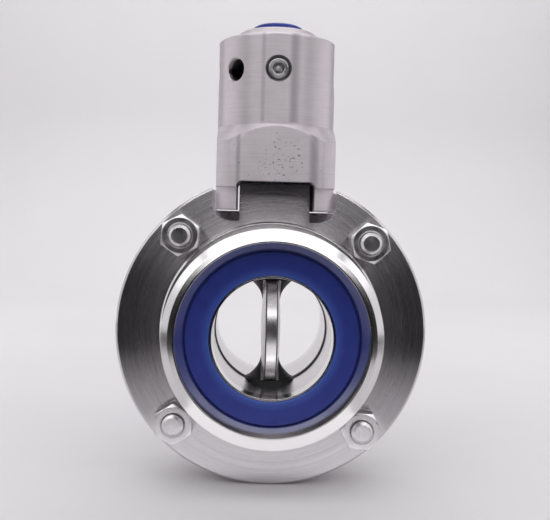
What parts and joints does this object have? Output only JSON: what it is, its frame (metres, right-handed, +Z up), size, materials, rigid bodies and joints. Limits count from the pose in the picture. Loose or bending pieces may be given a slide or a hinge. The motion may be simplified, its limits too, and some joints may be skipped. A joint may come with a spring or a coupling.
{
  "type": "butterfly valve",
  "caption": "Sanitary butterfly valve with male union ends, bolted flange halves, and a lever that turns the disc a quarter turn.",
  "frame": {"origin": "where the pipe axis crosses the stem axis, at the centre of the disc", "axes": "+Z up the stem towards the handle, +Y along the pipe towards the rear union, +X across"},
  "size_m": [0.086, 0.147, 0.1282],
  "materials": {
    "body_steel": "turned stainless steel",
    "head_steel": "satin cast stainless steel",
    "disc_steel": "polished stainless steel",
    "rod_steel": "drawn stainless steel",
    "fastener_steel": "bright stainless steel",
    "black_rubber": "matte EPDM",
    "blue_seal": "smooth blue elastomer",
    "blue_plastic": "moulded blue plastic",
    "bush_plastic": "PTFE"
  },
  "bodies": {
    "housing": {"front_body": "body_steel", "rear_body": "body_steel", "seat_ring": "black_rubber", "front_gasket": "blue_seal", "rear_gasket": "blue_seal", "upper_bush": "bush_plastic", "lower_bush": "bush_plastic", "stem_seals": "black_rubber", "flange_bolts": "fastener_steel", "flange_nuts": "fastener_steel"},
    "rotor": {"disc": "disc_steel", "handle_head": "head_steel", "stop_pin": "fastener_steel", "stem_washer": "fastener_steel", "stem_spring_washer": "fastener_steel", "stem_screw": "fastener_steel", "set_screw": "fastener_steel", "head_cap": "blue_plastic", "lever_rod": "rod_steel", "lever_nut": "fastener_steel", "lever_grip": "blue_plastic", "grip_cap": "blue_plastic"}
  },
  "joints": [
    {"name": "quarter_turn", "type": "hinge", "parent": "housing", "child": "rotor", "pos_m": [0, 0, 0], "axis": [0, 0, 1], "range_deg": [0, 90]}
  ]
}
